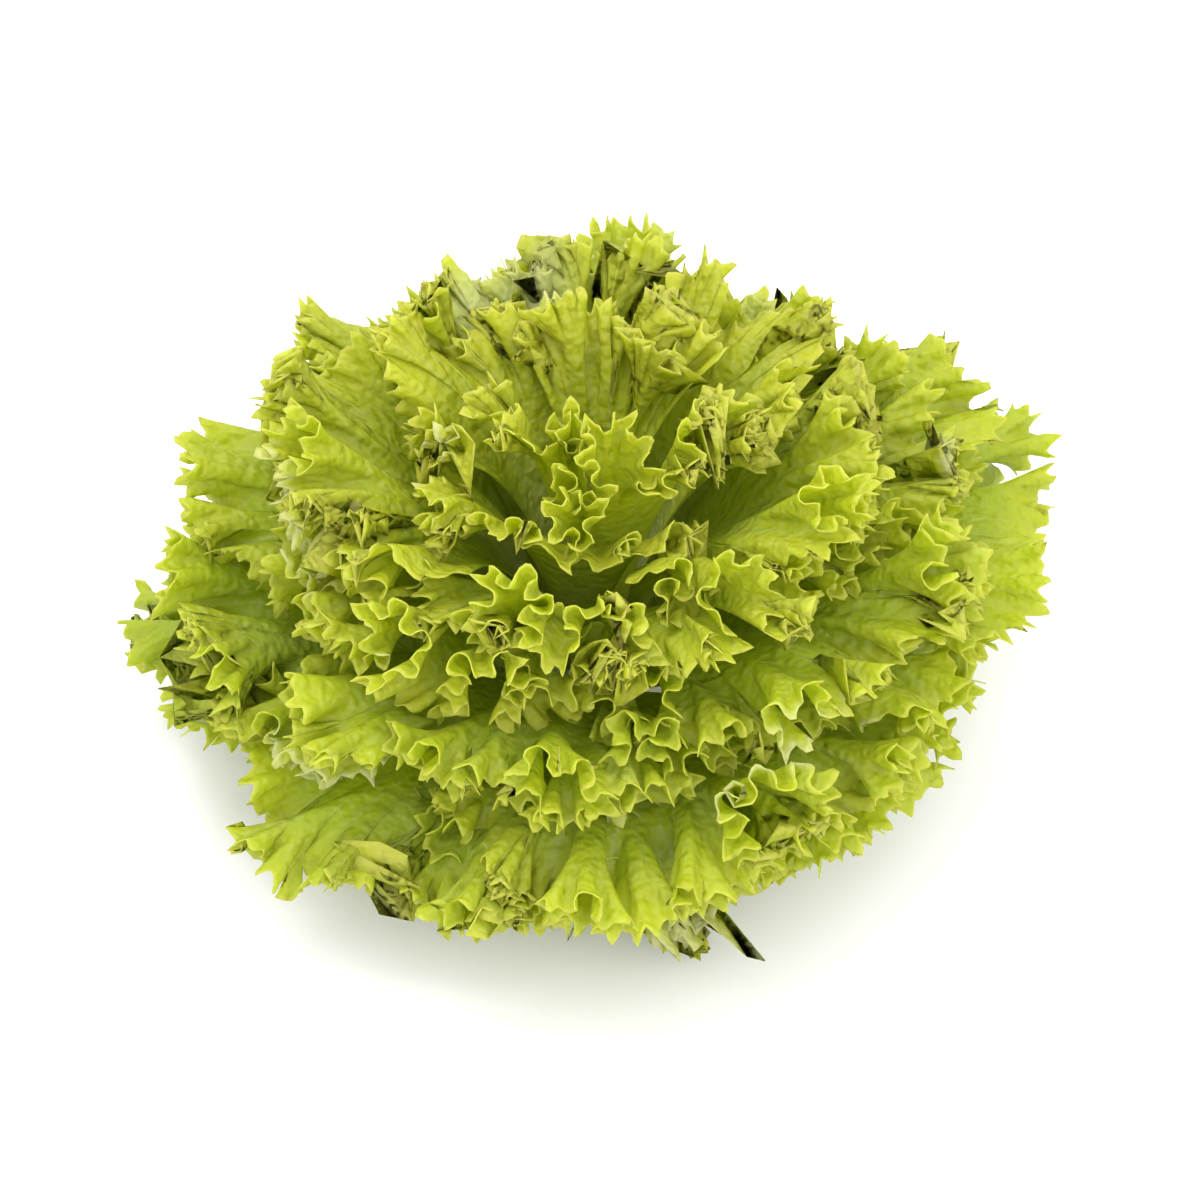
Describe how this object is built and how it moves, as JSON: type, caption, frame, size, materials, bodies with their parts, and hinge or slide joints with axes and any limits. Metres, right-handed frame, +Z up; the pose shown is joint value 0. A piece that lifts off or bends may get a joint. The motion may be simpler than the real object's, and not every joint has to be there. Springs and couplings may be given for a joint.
{
  "type": "lollo bionda lettuce",
  "caption": "Head of frilly green leaf lettuce: ruffled, toothed leaves in a loose dome round a short cut stem, standing on the stem's flat end.",
  "frame": {"origin": "middle of the stem's flat cut end, which the head stands on", "axes": "+Z up, along the stem; -Y towards the side the picture shows"},
  "size_m": [0.3013, 0.2662, 0.1584],
  "materials": {
    "leaf green": "satin",
    "heart green": "satin",
    "stem white": "satin"
  },
  "bodies": {
    "root": {"leaf_01": "leaf green", "leaf_02": "leaf green", "leaf_03": "leaf green", "leaf_04": "leaf green", "leaf_05": "leaf green", "leaf_06": "leaf green", "leaf_07": "leaf green", "leaf_08": "leaf green", "leaf_09": "leaf green", "leaf_10": "leaf green", "leaf_11": "leaf green", "leaf_12": "leaf green", "leaf_13": "leaf green", "leaf_14": "leaf green", "leaf_15": "leaf green", "leaf_16": "leaf green", "leaf_17": "leaf green", "leaf_18": "leaf green", "leaf_19": "leaf green", "leaf_20": "leaf green", "leaf_21": "leaf green", "leaf_22": "leaf green", "leaf_23": "leaf green", "leaf_24": "leaf green", "leaf_25": "heart green", "leaf_26": "heart green", "leaf_27": "heart green", "leaf_28": "heart green", "leaf_29": "heart green", "leaf_30": "heart green", "leaf_31": "heart green", "leaf_32": "heart green", "stem": "stem white"}
  },
  "joints": []
}
